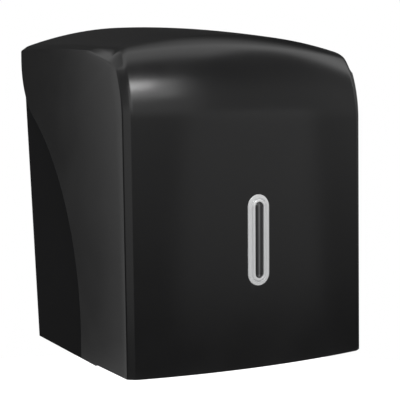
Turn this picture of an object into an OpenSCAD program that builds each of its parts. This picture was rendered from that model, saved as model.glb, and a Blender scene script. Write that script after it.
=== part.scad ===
// Centrefeed roll dispenser for a wall: a tapered rear housing that carries the roll shelf and a
// swivelling outlet nozzle, and a crowned front cover that drops forward on two hinge pins.
// X is to the right, Y runs back to the wall at Y = 0, Z is up. Heights below are measured from the
// cover's bottom edge, and the finished part is moved so that its origin is the centre of the four
// wall-screw holes, on the wall.

/* [Cover shell] */
// Half of the cover's width at its front creases
cover_half_w = 115; // [108:1:125]
// Depth from the wall to the front creases, along the bottom edge
crease_depth = 220; // [214:1:235]
// Outward flare of the cover's sides towards the wall, in degrees
side_flare = 2.1; // [2:0.1:3]
// Backward lean of the front, in degrees
front_lean = 1.6; // [0.8:0.1:2.2]
// Height at which the front starts to curve back
curve_start_z = 207; // [200:1:214]
// Radius of the curved upper front
curve_r = 96; // [88:1:106]
// Turn of the curved upper front, in degrees
curve_turn = 31; // [28:1:34]
// Radius of the brow between front and top
brow_r = 8.5; // [6:0.5:14]
// Slope of the top edge of the sides at the brow, from where it levels out to the wall, in degrees
top_slope = 6; // [4:0.25:7]
// Width of the bevel strip down each front corner
bevel_w = 6.3; // [5:0.1:9]
// Depth of the bevel strip at the bottom of the front
bevel_front = 4.7; // [3:0.1:7]
// Height of the bevel strip at the wall end of the top
bevel_rear = 4.5; // [3.5:0.1:7]
// Crown of the front across its width, at the bottom
crown_front = 10.3; // [8:0.1:14]
// Crown of the top across its width, at the wall end
crown_rear = 21.5; // [19:0.5:25]
// Wall thickness of the cover
cover_wall = 2.5; // [2:0.1:3.2]

/* [Parting line] */
// Depth from the wall to the rear edge of the cover's sides, at the bottom
parting_depth = 132; // [124:0.5:138]
// Height where that edge starts to sweep back
parting_low_z = 16; // [10:1:24]
// Height where that edge reaches the wall end
parting_high_z = 261; // [256:1:263]
// Radius of the lower sweep
parting_r = 231; // [210:1:250]

/* [Rear housing] */
// Half of the housing's width at the height of the cover's bottom edge
base_half_w = 108.2; // [105:0.1:108.6]
// Outward taper of the housing's sides towards the top, in degrees
base_taper = 2.6; // [2:0.1:2.7]
// How far the housing reaches below the cover
base_drop = 6.5; // [3:0.5:10]
// Height of the housing's side walls
side_wall_top = 245; // [235:1:250]
// Wall thickness of the housing
base_wall = 2.6; // [2.2:0.1:3.2]
// How far the housing's side walls run on under the cover
lap = 8; // [5:0.5:11]
// Height and depth of the rails that keep the roll off the back
rail = 3; // [2:0.5:5]

/* [Wall screws] */
// Distance between the two columns of wall-screw holes
screw_span_x = 140; // [120:1:160]
// Distance between the two rows of wall-screw holes
screw_span_z = 150; // [130:1:170]
// Height of the pattern's centre above the cover's bottom edge
screw_centre_z = 150; // [140:1:160]
// Diameter of the wall-screw holes
screw_hole_d = 5.5; // [4.5:0.1:6.5]

/* [Hinge] */
// Distance of the hinge axis in front of the cover's rear edge
hinge_set = 14; // [12:0.5:18]
// Height of the hinge axis
hinge_z = 9.5; // [9:0.5:11]
// Diameter of the hinge pins
hinge_pin_d = 6; // [5:0.5:7]
// Diameter of the bosses that the pins run in
hinge_boss_d = 16; // [14:0.5:17]
// How far the cover opens before its stops meet, in degrees
open_angle = 100; // [85:1:105]

/* [Roll shelf and nozzle] */
// Depth from the wall to the roll's axis
roll_axis_depth = 114; // [108:1:118]
// Height of the shelf's top face
shelf_top_z = 23; // [22:0.5:26]
// Thickness of the shelf's floor
shelf_floor = 3; // [2.4:0.2:4]
// Depth of the skirt below the shelf
shelf_skirt = 15; // [12:0.5:16]
// Radius of the nozzle's flange
flange_r = 38; // [34:0.5:42]
// Radius of the outlet inside the nozzle's mouth
mouth_r = 11; // [9:0.5:14]
// How far the mouth reaches below the cover's bottom edge
mouth_drop = 14; // [10:0.5:20]
// Wall thickness of the nozzle
nozzle_wall = 2.2; // [1.8:0.1:2.8]
// Radius of the round hole in the middle of the tension star
star_hole_r = 4.6; // [4:0.1:5]

/* [Window] */
// Height of the window's centre
window_z = 107; // [90:1:130]
// Width of the window's silver bezel
bezel_w = 20.5; // [19:0.5:22]
// Height of the window's silver bezel
bezel_h = 76; // [70:1:84]
// Width of the lens that shows
lens_w = 8.2; // [6.4:0.2:9]
// Height of the lens that shows
lens_h = 63.5; // [56:0.5:65]

/* [Lock] */
// Depth from the wall to the lock
lock_depth = 36; // [34:1:40]
// Radius of the lock's threaded body
lock_r = 8.5; // [8:0.25:9.5]
// Length of the lock's body under its head
lock_len = 18; // [17:0.5:20]
// Length of the cam's tongue from the lock's axis
cam_len = 24; // [22:0.5:26]
// Width of the cam's tongue
cam_w = 11; // [9:0.5:12]

/* [Clearances] */
// Gap between the cover's rear edge and the wall
wall_gap = 1; // [0.6:0.1:1.6]
// Gap between parts that pass each other
pass_gap = 2.5; // [2:0.1:3]
// Gap all round a part that turns or slides in another
run_gap = 0.3; // [0.25:0.05:0.4]
// Gap all round a part that is fixed in another
fit_gap = 0.15; // [0.1:0.05:0.2]
// Radial gap of a pin in its bore
pin_gap = 0.08; // [0.05:0.01:0.12]

/* [Hidden] */
$fn = 64;

cover_black = [0.075, 0.075, 0.08];
housing_black = [0.05, 0.05, 0.055];
inner_grey = [0.28, 0.29, 0.31];
steel = [0.72, 0.73, 0.75];
silver = [0.74, 0.75, 0.77];
smoke = [0.12, 0.13, 0.15];
rubber = [0.16, 0.16, 0.17];

// Crease path: the line where the sides meet the front and the top, as depth behind the front crease
// and height. It is a leaning line, an arc, the tighter arc of the brow and a wide arc over the top.
lean_a = front_lean;
brow_a = front_lean + curve_turn;
top_a = 90 - top_slope;
rear_y = crease_depth - wall_gap;
curve_p = [curve_start_z * tan(lean_a), curve_start_z];
curve_c = curve_p + curve_r * [cos(lean_a), -sin(lean_a)];
brow_p = curve_c + curve_r * [-cos(brow_a), sin(brow_a)];
brow_c = brow_p + brow_r * [cos(brow_a), -sin(brow_a)];
top_p = brow_c + brow_r * [-cos(top_a), sin(top_a)];
front_len = curve_start_z / cos(lean_a);
curve_len = curve_r * curve_turn * PI / 180;
brow_len = brow_r * (top_a - brow_a) * PI / 180;
top_r = (rear_y - top_p[0]) / cos(top_a);
top_c = top_p + top_r * [cos(top_a), -sin(top_a)];
top_len = top_r * top_slope * PI / 180;
path_len = front_len + curve_len + brow_len + top_len;

// A station is [depth, height, angle from upright, distance along the path].
function front_station(s) = [s * sin(lean_a), s * cos(lean_a), lean_a, s];
function curve_station(a) = [
    curve_c[0] - curve_r * cos(a), curve_c[1] + curve_r * sin(a), a,
    front_len + curve_r * (a - lean_a) * PI / 180
];
function brow_station(a) = [
    brow_c[0] - brow_r * cos(a), brow_c[1] + brow_r * sin(a), a,
    front_len + curve_len + brow_r * (a - brow_a) * PI / 180
];
function top_station(a) = [
    top_c[0] - top_r * cos(a), top_c[1] + top_r * sin(a), a,
    front_len + curve_len + brow_len + top_r * (a - top_a) * PI / 180
];
front_steps = 7;
curve_steps = 7;
brow_steps = 5;
top_steps = 7;
stations = [
    for (i = [0:front_steps - 1]) front_station(front_len * i / front_steps),
    for (i = [0:curve_steps - 1]) curve_station(lean_a + curve_turn * i / curve_steps),
    for (i = [0:brow_steps - 1]) brow_station(brow_a + (top_a - brow_a) * i / brow_steps),
    for (i = [0:top_steps]) top_station(top_a + top_slope * i / top_steps)
];
rows = len(stations);

// The crown and the bevel grow along the path, slowly at first.
growth_power = 1.9;
function growth(s) = pow(s / path_len, growth_power);
function bevel_at(s) = bevel_front + (bevel_rear - bevel_front) * growth(s);
function crown_at(s) = crown_front + (crown_rear - crown_front) * growth(s);
function half_w_at(depth) = cover_half_w + depth * tan(side_flare);

// Point on the cover at station st, at share u of the half width inside the bevels, set in by inset.
function crown_point(st, u, inset) =
    let (inner = half_w_at(st[0]) - inset - bevel_w)
    let (rise = bevel_at(st[3]) + crown_at(st[3]) * (1 - u * u))
    [
        u * inner,
        st[0] + (inset - rise) * cos(st[2]) - crease_depth,
        st[3] == 0 ? 0 : st[1] - (inset - rise) * sin(st[2])
    ];
function crease_point(st, side, inset) = [
    side * (half_w_at(st[0]) - inset),
    min(st[0] + inset * cos(st[2]), rear_y) - crease_depth,
    max(st[1] - inset * sin(st[2]), 0)
];

// Parting line: the rear edge of the cover's sides, upright at the bottom, swept back in one arc and
// brought upright again at the wall by a second, tighter one.
parting_y = crease_depth - parting_depth;
sweep_run = rear_y - parting_y;
sweep_rise = parting_high_z - parting_low_z;
sweep_a = 2 * atan(sweep_run / sweep_rise);
parting_r2 = sweep_rise / sin(sweep_a) - parting_r;
sweep_len = parting_r * sweep_a * PI / 180;
sweep_len2 = parting_r2 * sweep_a * PI / 180;
parting_len = parting_low_z + sweep_len + sweep_len2;
function low_sweep(a) = [parting_y + parting_r * (1 - cos(a)), parting_low_z + parting_r * sin(a)];
function high_sweep(a) = [rear_y - parting_r2 * (1 - cos(a)), parting_high_z - parting_r2 * sin(a)];
function parting(s) =
    s < parting_low_z ? [parting_y, s] :
    s < parting_low_z + sweep_len ? low_sweep((s - parting_low_z) / parting_r * 180 / PI) :
    high_sweep(max(parting_len - s, 0) / parting_r2 * 180 / PI);

// Each row of the shell ends on the parting line: the front's rows on its first part, the brow's on a
// short stretch of it and the top's on the rest.
front_share = 0.58;
brow_share = 0.68;
function parting_share(i) =
    i < front_steps ? front_share * i / front_steps :
    i < rows - 1 - top_steps
        ? front_share + (brow_share - front_share) * (i - front_steps) / (curve_steps + brow_steps)
        : brow_share + (1 - brow_share) * (i - (rows - 1 - top_steps)) / top_steps;
function edge_point(i, side, inset) =
    let (p = parting(parting_len * parting_share(i)))
    [side * (half_w_at(p[0]) - inset), p[0] - crease_depth, p[1]];

crown_steps = 16;
function shell_row(i, inset) = [
    edge_point(i, -1, inset),
    crease_point(stations[i], -1, inset),
    for (k = [0:crown_steps]) crown_point(stations[i], 2 * k / crown_steps - 1, inset),
    crease_point(stations[i], 1, inset),
    edge_point(i, 1, inset)
];
cols = crown_steps + 5;

// Place and slope of the cover's centre line at distance s along the path
function centre_line(s) =
    s < front_len ? crown_point(front_station(s), 0, 0) :
    crown_point(top_station(90 - (path_len - s) / top_r * 180 / PI), 0, 0);
slope_step = 1;

// Screws: the tip, and where the head's edge ends and its dome turns, as shares of radius and height
tip_share = 0.5;
head_edge = 0.45;
head_turn = [0.82, 0.8];
head_flat = 0.5;

// Rear housing
base_bottom = -base_drop;
function base_half_at(z) = base_half_w + z * tan(base_taper);
back_top_inset = cover_wall + pass_gap;
back_top = [
    for (k = [1:crown_steps - 1]) crown_point(stations[rows - 1], 1 - 2 * k / crown_steps, back_top_inset)
];
mount_pad_w = 6;
mount_pad_r = screw_hole_d / 2 + mount_pad_w;
mount_pad_h = 2;
rail_w = 2.4;
rail_x = 42;
rail_end = 8;

// Hinge
hinge_y = -(parting_depth + hinge_set);
hinge_r = hinge_pin_d / 2;
hinge_boss_r = hinge_boss_d / 2;
hinge_boss_in = 2;
hinge_boss_out = 1;
hinge_wall_x = base_half_at(hinge_z);
hinge_boss_x = hinge_wall_x - base_wall - hinge_boss_in;
hinge_base_x = hinge_wall_x + hinge_boss_out;
hinge_cover_x = hinge_base_x + run_gap;
cover_inner_x = half_w_at(crease_depth + hinge_y) - cover_wall;
hinge_pin_end = cover_inner_x - run_gap;
pin_head_w = 1.6;
pin_head_r = hinge_r + pin_head_w;
pin_head_h = 2;

// Stops of the hinge: a peg on the housing, and a tab on the cover that meets it when fully open
peg_r = 2;
peg_set = 0.6;
peg_orbit = hinge_boss_r + peg_r + peg_set;
hinge_lobe_r = peg_orbit + peg_r + peg_set;
tab_w = 3;
tab_len = 4;
tab_a = 20;
peg_a = tab_a + open_angle + asin((peg_r + tab_w / 2 + run_gap) / peg_orbit);

// Shelf
shelf_bottom_z = shelf_top_z - shelf_floor;
roll_y = -roll_axis_depth;
shelf_half_w = base_half_at(shelf_bottom_z) - base_wall - 3 * run_gap;
shelf_rear_y = -(base_wall + run_gap);
skirt_wall = 2.2;
ledge_w = 8;
skirt_gap = 3;
skirt_inset = ledge_w + skirt_gap;
skirt_edge = 2;
shelf_rib = 8;
shelf_ribs = 8;
rib_w = 2;
ledge_h = 2.6;
ledge_set = 6;
ledge_front = ledge_set - parting_depth;
shelf_screw_set = [30, 18];
shelf_screw_y = [-shelf_screw_set[0], ledge_front + shelf_screw_set[1]];
screw_r = 1.7;
screw_head_r = 3.6;
screw_head_h = 2.2;
boss_r = 4.2;
boss_len = 10;
shelf_screw_x = shelf_half_w - ledge_w / 2;

// Nozzle, all turned about the roll's axis
flange_h = 2.6;
seat_h = 2.6;
seat_lap = 5;
collar_wall = 3;
collar_depth = 11;
collar_bottom = shelf_top_z - collar_depth;
seat_top = collar_bottom + seat_h;
flange_bottom = seat_top + run_gap;
flange_top = flange_bottom + flange_h;
collar_r = flange_r + run_gap;
collar_out_r = collar_r + collar_wall;
neck_r = flange_r - seat_lap;
ring_w = 8;
ring_r = collar_out_r + ring_w;
ring_h = 2.4;
ring_lip_w = 2.2;
ring_chamfer = 1;
ring_screw_r = collar_out_r + ring_w / 2;
ring_screw_n = 3;
mouth_out_r = mouth_r + nozzle_wall;
mouth_end = -mouth_drop;
mouth_h = 9;
cone_gap = 1;
cone_top = collar_bottom - cone_gap;
mouth_top = mouth_end + mouth_h;
lip_h = 1.6;
lip_w = 1.8;
star_h = 2;
star_slits = 6;
star_slit_w = 1.2;
star_rim = 2.4;
grip_n = 12;
grip_r = 1.3;

// Window
bezel_proud = 0.9;
bezel_seat = 0.8;
bezel_lip = 1.6;
bezel_ring = 1.2;
bezel_ring_w = 2.4;
lens_set = 0.3;
lens_rim = 1.7;
bezel_tube_wall = 1.4;
bezel_tube_w = lens_w + 2 * (lens_rim + bezel_tube_wall);
bezel_tube_h = lens_h + 2 * (lens_rim + bezel_tube_wall);
bezel_tube_len = 5.6;
retainer_wall = 4;
retainer_w = bezel_tube_w + 2 * retainer_wall;
retainer_h = bezel_tube_h + 2 * retainer_wall;
retainer_floor = 1.2;
window_p = centre_line(window_z);
window_q = centre_line(window_z + slope_step);
window_lean = atan2(window_q[1] - window_p[1], window_q[2] - window_p[2]);

// Lock
lock_s = path_len - (lock_depth - wall_gap);
lock_p = centre_line(lock_s);
lock_q = centre_line(lock_s + slope_step);
lock_tilt = atan2(lock_q[2] - lock_p[2], lock_q[1] - lock_p[1]);
lock_head_w = 3;
lock_head_r = lock_r + lock_head_w;
lock_head_h = 1.6;
lock_pocket = lock_head_h + fit_gap;
lock_pad_w = 4;
lock_pad_r = lock_head_r + lock_pad_w;
lock_pad = 5.2;
washer_h = 1;
washer_w = 4;
washer_r = lock_r + washer_w;
nut_h = 4;
nut_wall = 2.5;
nut_across = 2 * (lock_r + nut_wall);
barrel_wall = 2.4;
plug_r = lock_r - barrel_wall;
plug_head_h = 3;
plug_head_w = 1;
plug_head_r = plug_r + plug_head_w;
keyway = [2, 8, 9];
cam_h = 2.6;
cam_gap = run_gap;
cam_square = 7;
cam_hub = 1.5;
cam_screw_len = 8;
cam_top = -(lock_pocket + lock_len) - cam_gap;
cam_screw_head = 2.2;
cam_screw_head_r = 4.4;
cam_screw_r = 1.6;

// Catch on the housing's top lip, in front of the cam's tongue when it is turned to the side
cam_y = lock_p[1] - cam_top * sin(lock_tilt);
cam_z = lock_p[2] + cam_top * cos(lock_tilt);
catch_gap = 1;
catch_t = 2.5;
catch_w = 14;
catch_set = 5;
catch_over = 4;
catch_y = cam_y - cam_w / 2 - catch_gap;
catch_x = lock_r + catch_set;
catch_top = cam_z + catch_over;
foot_h = 2;
foot_len = 18;
foot_side = 9;
catch_screw_x = [catch_x - foot_side / 2, catch_x + catch_w + foot_side / 2];
catch_screw_set = 11;
catch_screw_y = catch_y + catch_screw_set;
catch_screw_out = 3;
lip_drop = 13;
lip_edge = 8;
lip_top = cam_z - lip_drop;
lip_wall = 2.6;
lip_half_w = catch_x + catch_w + foot_side + lip_edge;
lip_depth = catch_t - catch_y + lip_edge;
gusset_h = 26;
gusset_foot = 2;
gusset_reach = 0.8;

module to_origin() {
    translate([0, 0, -screw_centre_z])
        children();
}

module mirrored_x() {
    children();
    mirror([1, 0, 0])
        children();
}

module at_nozzle() {
    translate([0, roll_y, 0])
        children();
}

// Window frame: local Y up the front, local Z outwards
module at_window() {
    translate(window_p)
        rotate([90 - window_lean, 0, 0])
            children();
}

// Lock frame: local Z out of the top along the lock's axis
module at_lock() {
    translate(lock_p)
        rotate([lock_tilt, 0, 0])
            children();
}

module stadium(w, h) {
    translate([0, -(h - w) / 2])
        circle(d = w);
    translate([0, (h - w) / 2])
        circle(d = w);
    translate([-w / 2, -(h - w) / 2])
        square([w, h - w]);
}

module slab(w, h, low, high) {
    translate([0, 0, low])
        linear_extrude(high - low)
            stadium(w, h);
}

module post(r, low, high) {
    translate([0, 0, low])
        cylinder(r = r, h = high - low);
}

// Round-headed screw pointing down, head seated at height 0
module pan_screw(shank_r, length, head_r, head_h) {
    rotate_extrude()
        polygon([
            [0, -length], [shank_r * tip_share, -length], [shank_r, -length + shank_r],
            [shank_r, 0], [head_r, 0], [head_r, head_h * head_edge],
            [head_r * head_turn[0], head_h * head_turn[1]], [head_r * head_flat, head_h], [0, head_h]
        ]);
}

// The cover as one thin shell: an outer and an inner skin on the same grid, closed along the rim.
module cover_shell() {
    skin = [for (i = [0:rows - 1]) each shell_row(i, 0)];
    lining = [for (i = [0:rows - 1]) each shell_row(i, cover_wall)];
    n = rows * cols;
    faces = [
        for (i = [0:rows - 2]) for (k = [0:cols - 2])
            let (a = i * cols + k)
            each [
                [a, a + cols, a + 1], [a + 1, a + cols, a + cols + 1],
                [n + a, n + a + 1, n + a + cols], [n + a + 1, n + a + cols + 1, n + a + cols]
            ],
        for (k = [0:cols - 2])
            let (b = (rows - 1) * cols + k)
            each [
                [k, k + 1, n + k], [k + 1, n + k + 1, n + k],
                [b, n + b, b + 1], [b + 1, n + b, n + b + 1]
            ],
        for (i = [0:rows - 2])
            let (l = i * cols, r = i * cols + cols - 1)
            each [
                [l, n + l, l + cols], [l + cols, n + l, n + l + cols],
                [r, r + cols, n + r], [r + cols, n + r + cols, n + r]
            ]
    ];
    polyhedron(concat(skin, lining), faces);
}

module front_cover() {
    color(cover_black) to_origin() difference() {
        union() {
            cover_shell();
            mirrored_x()
                translate([hinge_cover_x, hinge_y, hinge_z])
                    rotate([0, 90, 0])
                        cylinder(r = hinge_boss_r, h = cover_inner_x + cover_wall / 2 - hinge_cover_x);
            mirrored_x()
                translate([hinge_cover_x, hinge_y, hinge_z])
                    rotate([tab_a, 0, 0])
                        translate([0, 0, -tab_w / 2])
                            cube([tab_len, peg_orbit + peg_r, tab_w]);
            at_lock()
                post(lock_pad_r, -lock_pad, -cover_wall / 2);
        }
        mirrored_x()
            translate([hinge_cover_x - 1, hinge_y, hinge_z])
                rotate([0, 90, 0])
                    cylinder(r = hinge_r + pin_gap, h = hinge_pin_end + run_gap - hinge_cover_x + 1);
        at_lock() {
            post(lock_head_r + fit_gap, -lock_pocket, cover_wall);
            post(lock_r + fit_gap, -lock_pad - 1, 0);
        }
        at_window() {
            slab(bezel_w + 2 * fit_gap, bezel_h + 2 * fit_gap, -bezel_seat, cover_wall);
            slab(bezel_tube_w + 2 * fit_gap, bezel_tube_h + 2 * fit_gap, -2 * cover_wall, 0);
        }
    }
}

module back_plate() {
    low = base_half_at(base_bottom);
    high = base_half_at(side_wall_top);
    rotate([90, 0, 0])
        linear_extrude(base_wall)
            polygon([
                [-low, base_bottom], [low, base_bottom], [high, side_wall_top],
                for (p = back_top) [p[0], p[2]],
                [-high, side_wall_top]
            ]);
}

// Side wall outline as depth from the wall and height: it follows the parting line, lapped under it
sweep_steps = 14;
module side_outline() {
    top_turn = asin(max(parting_high_z - side_wall_top, 0) / parting_r2);
    edge = [
        for (i = [0:sweep_steps]) low_sweep(sweep_a * i / sweep_steps),
        for (i = [1:sweep_steps]) high_sweep(sweep_a + (top_turn - sweep_a) * i / sweep_steps)
    ];
    polygon([
        [0, base_bottom], [-parting_depth - lap, base_bottom],
        for (p = edge) [p[0] - crease_depth - lap, p[1]],
        [0, side_wall_top]
    ]);
}

module side_wall() {
    translate([base_half_w, 0, 0])
        rotate([0, base_taper, 0])
            translate([-base_wall, 0, 0])
                rotate([90, 0, 90])
                    linear_extrude(base_wall)
                        side_outline();
    translate([0, hinge_y, hinge_z])
        rotate([0, 90, 0]) {
            post(hinge_boss_r, hinge_boss_x, hinge_base_x);
            post(hinge_lobe_r, hinge_wall_x - base_wall + run_gap, hinge_wall_x);
        }
    translate([0, hinge_y, hinge_z])
        rotate([peg_a, 0, 0])
            translate([0, peg_orbit, 0])
                rotate([0, 90, 0])
                    post(peg_r, hinge_wall_x - base_wall / 2, hinge_cover_x + tab_len);
}

// Ledge that carries one side of the shelf, with its screw bosses
module ledge() {
    translate([shelf_half_w - ledge_w, ledge_front, shelf_bottom_z - ledge_h])
        cube([ledge_w + 4 * run_gap + base_wall / 2, -ledge_front - base_wall / 2, ledge_h]);
    for (y = shelf_screw_y)
        translate([shelf_screw_x, y, 0])
            post(boss_r, shelf_bottom_z - boss_len, shelf_bottom_z);
}

module top_lip() {
    translate([-lip_half_w, -lip_depth, lip_top - lip_wall])
        cube([2 * lip_half_w, lip_depth - base_wall / 2, lip_wall]);
    mirrored_x()
        translate([lip_half_w - rib_w, 0, lip_top - lip_wall / 2])
            rotate([90, 0, 90])
                linear_extrude(rib_w)
                    polygon([
                        [-base_wall / 2, 0], [-base_wall / 2, -gusset_h - lip_wall / 2],
                        [-base_wall - gusset_foot, -gusset_h - lip_wall / 2],
                        [-lip_depth * gusset_reach, -lip_wall / 2], [-lip_depth * gusset_reach, 0]
                    ]);
}

module at_wall_screws() {
    for (x = [-1, 1], z = [-1, 1])
        translate([x * screw_span_x / 2, 0, screw_centre_z + z * screw_span_z / 2])
            rotate([90, 0, 0])
                children();
}

module rear_housing() {
    color(housing_black) to_origin() difference() {
        union() {
            back_plate();
            mirrored_x() {
                side_wall();
                ledge();
                translate([rail_x - rail_w / 2, -base_wall - rail, shelf_top_z + rail_end])
                    cube([rail_w, rail + base_wall / 2, lip_top - shelf_top_z - 2 * rail_end]);
            }
            top_lip();
            at_wall_screws()
                post(mount_pad_r, base_wall / 2, base_wall + mount_pad_h);
        }
        at_wall_screws()
            post(screw_hole_d / 2, -1, base_wall + mount_pad_h + 1);
        mirrored_x() {
            translate([0, hinge_y, hinge_z])
                rotate([0, 90, 0])
                    post(hinge_r + pin_gap / 2, hinge_boss_x - 1, hinge_base_x + 1);
            for (y = shelf_screw_y)
                translate([shelf_screw_x, y, 0])
                    post(screw_r + pin_gap, shelf_bottom_z - boss_len - 1, shelf_bottom_z + 1);
        }
        for (x = catch_screw_x)
            translate([x, catch_screw_y, 0])
                post(screw_r + pin_gap, lip_top - lip_wall - 1, lip_top + 1);
    }
}

module hinge_pin(side) {
    color(steel) to_origin()
        mirror([side < 0 ? 1 : 0, 0, 0])
            translate([0, hinge_y, hinge_z])
                rotate([0, 90, 0]) {
                    post(hinge_r, hinge_boss_x - pin_head_h / 2, hinge_pin_end);
                    post(pin_head_r, hinge_boss_x - pin_head_h, hinge_boss_x);
                }
}

// Front edge of the shelf at place x: the cover's lining at that height, less the passing gap
function shelf_front(x) =
    let (st = front_station(shelf_bottom_z))
    let (inner = half_w_at(st[0]) - cover_wall - bevel_w)
    crown_point(st, x / inner, cover_wall)[1] + pass_gap;

front_points = 12;
module shelf_outline(side, edge) {
    half = shelf_half_w - side;
    polygon([
        [half, shelf_rear_y - edge],
        for (k = [0:front_points])
            let (x = half * (1 - 2 * k / front_points))
            [x, shelf_front(x) + edge],
        [-half, shelf_rear_y - edge]
    ]);
}

module roll_shelf() {
    color(inner_grey) to_origin() difference() {
        union() {
            translate([0, 0, shelf_bottom_z])
                linear_extrude(shelf_floor)
                    shelf_outline(0, 0);
            translate([0, 0, shelf_bottom_z - shelf_skirt])
                linear_extrude(shelf_skirt + shelf_floor / 2)
                    difference() {
                        shelf_outline(skirt_inset, skirt_edge);
                        shelf_outline(skirt_inset + skirt_wall, skirt_edge + skirt_wall);
                    }
            intersection() {
                translate([0, 0, shelf_bottom_z - shelf_rib])
                    linear_extrude(shelf_rib + shelf_floor / 2)
                        shelf_outline(skirt_inset + skirt_wall / 2, skirt_edge + skirt_wall / 2);
                at_nozzle()
                    for (i = [0:shelf_ribs - 1])
                        rotate([0, 0, 360 / shelf_ribs * (i + 0.5)])
                            translate([collar_r + collar_wall / 2, -rib_w / 2, 0])
                                cube([2 * shelf_half_w, rib_w, shelf_top_z]);
            }
            at_nozzle() {
                post(collar_out_r, collar_bottom, shelf_top_z);
                for (i = [0:ring_screw_n - 1])
                    rotate([0, 0, 360 / ring_screw_n * i + 90])
                        translate([ring_screw_r, 0, 0])
                            post(boss_r, shelf_top_z - boss_len, shelf_top_z - shelf_floor / 2);
            }
        }
        at_nozzle() {
            post(collar_r, seat_top, shelf_top_z + 1);
            post(neck_r + run_gap, collar_bottom - 1, seat_top + 1);
            for (i = [0:ring_screw_n - 1])
                rotate([0, 0, 360 / ring_screw_n * i + 90])
                    translate([ring_screw_r, 0, 0])
                        post(screw_r + pin_gap, shelf_top_z - boss_len - 1, shelf_top_z + 1);
        }
        mirrored_x()
            for (y = shelf_screw_y)
                translate([shelf_screw_x, y, 0])
                    post(screw_r + fit_gap, shelf_bottom_z - 1, shelf_top_z + 1);
    }
}

module shelf_screws() {
    color(steel) to_origin() mirrored_x()
        for (y = shelf_screw_y)
            translate([shelf_screw_x, y, shelf_top_z])
                pan_screw(screw_r, shelf_floor + boss_len - 1, screw_head_r, screw_head_h);
}

module nozzle_ring() {
    lip_out = collar_r - fit_gap;
    lip_in = lip_out - ring_lip_w;
    color(housing_black) to_origin() at_nozzle() difference() {
        rotate_extrude()
            polygon([
                [lip_in, flange_top + run_gap], [lip_out, flange_top + run_gap],
                [lip_out, shelf_top_z], [ring_r, shelf_top_z], [ring_r, shelf_top_z + ring_h - ring_chamfer],
                [ring_r - ring_chamfer, shelf_top_z + ring_h], [lip_in, shelf_top_z + ring_h]
            ]);
        for (i = [0:ring_screw_n - 1])
            rotate([0, 0, 360 / ring_screw_n * i + 90])
                translate([ring_screw_r, 0, 0])
                    post(screw_r + fit_gap, shelf_top_z - 1, shelf_top_z + ring_h + 1);
    }
}

module nozzle_ring_screws() {
    color(steel) to_origin() at_nozzle()
        for (i = [0:ring_screw_n - 1])
            rotate([0, 0, 360 / ring_screw_n * i + 90])
                translate([ring_screw_r, 0, shelf_top_z + ring_h])
                    pan_screw(screw_r, ring_h + boss_len - 1, screw_head_r, screw_head_h);
}

module swivel_nozzle() {
    color(housing_black) to_origin() at_nozzle() {
        rotate_extrude()
            polygon([
                [flange_r, flange_bottom], [flange_r, flange_top], [neck_r - nozzle_wall, flange_top],
                [neck_r - nozzle_wall, cone_top], [mouth_r, mouth_top], [mouth_r, mouth_end + lip_h],
                [mouth_r - lip_w, mouth_end + lip_h], [mouth_r - lip_w, mouth_end],
                [mouth_out_r, mouth_end], [mouth_out_r, mouth_top], [neck_r, cone_top],
                [neck_r, flange_bottom]
            ]);
        for (i = [0:grip_n - 1])
            rotate([0, 0, 360 / grip_n * i])
                translate([mouth_out_r - grip_r / 4, 0, 0])
                    post(grip_r, mouth_end + 1, mouth_top - 1);
    }
}

module tension_star() {
    star_low = mouth_end + lip_h;
    slit_end = mouth_r - star_rim;
    color(rubber) to_origin() at_nozzle() difference() {
        post(mouth_r - fit_gap, star_low, star_low + star_h);
        post(star_hole_r, star_low - 1, star_low + star_h + 1);
        for (i = [0:star_slits - 1])
            rotate([0, 0, 360 / star_slits * i])
                translate([0, -star_slit_w / 2, star_low - 1])
                    cube([slit_end, star_slit_w, star_h + 2]);
    }
}

module catch_bracket() {
    color(steel) to_origin() difference() {
        union() {
            translate([catch_x - foot_side, catch_y - catch_t, lip_top])
                cube([catch_w + 2 * foot_side, foot_len + catch_t, foot_h]);
            translate([catch_x, catch_y - catch_t, lip_top])
                cube([catch_w, catch_t, catch_top - lip_top]);
        }
        for (x = catch_screw_x)
            translate([x, catch_screw_y, 0])
                post(screw_r + fit_gap, lip_top - 1, lip_top + foot_h + 1);
    }
}

module catch_screws() {
    color(steel) to_origin()
        for (x = catch_screw_x)
            translate([x, catch_screw_y, lip_top + foot_h])
                pan_screw(screw_r, foot_h + lip_wall + catch_screw_out, screw_head_r, screw_head_h);
}

module window_bezel() {
    color(silver) to_origin() at_window() difference() {
        union() {
            slab(bezel_w, bezel_h, -bezel_seat, bezel_proud);
            slab(lens_w + 2 * bezel_ring_w, lens_h + 2 * bezel_ring_w, 0, bezel_proud + bezel_ring);
            slab(bezel_tube_w, bezel_tube_h, -bezel_tube_len, -bezel_seat / 2);
        }
        slab(lens_w, lens_h, -bezel_tube_len - 1, bezel_proud + bezel_ring + 1);
        slab(
            lens_w + 2 * (lens_rim + fit_gap), lens_h + 2 * (lens_rim + fit_gap),
            -bezel_tube_len - 1, -bezel_lip
        );
    }
}

module window_lens() {
    color(smoke) to_origin() at_window() {
        slab(lens_w + 2 * lens_rim, lens_h + 2 * lens_rim, -bezel_tube_len, -bezel_lip - fit_gap);
        slab(
            lens_w - 2 * fit_gap, lens_h - 2 * fit_gap,
            -bezel_lip - 1, bezel_proud + bezel_ring - lens_set
        );
    }
}

module window_retainer() {
    back = -bezel_tube_len - retainer_floor;
    color(housing_black) to_origin() at_window() difference() {
        slab(retainer_w, retainer_h, back, -cover_wall - run_gap);
        slab(bezel_tube_w + 2 * fit_gap, bezel_tube_h + 2 * fit_gap, -bezel_tube_len, 0);
        slab(lens_w, lens_h, back - 1, 0);
    }
}

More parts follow.
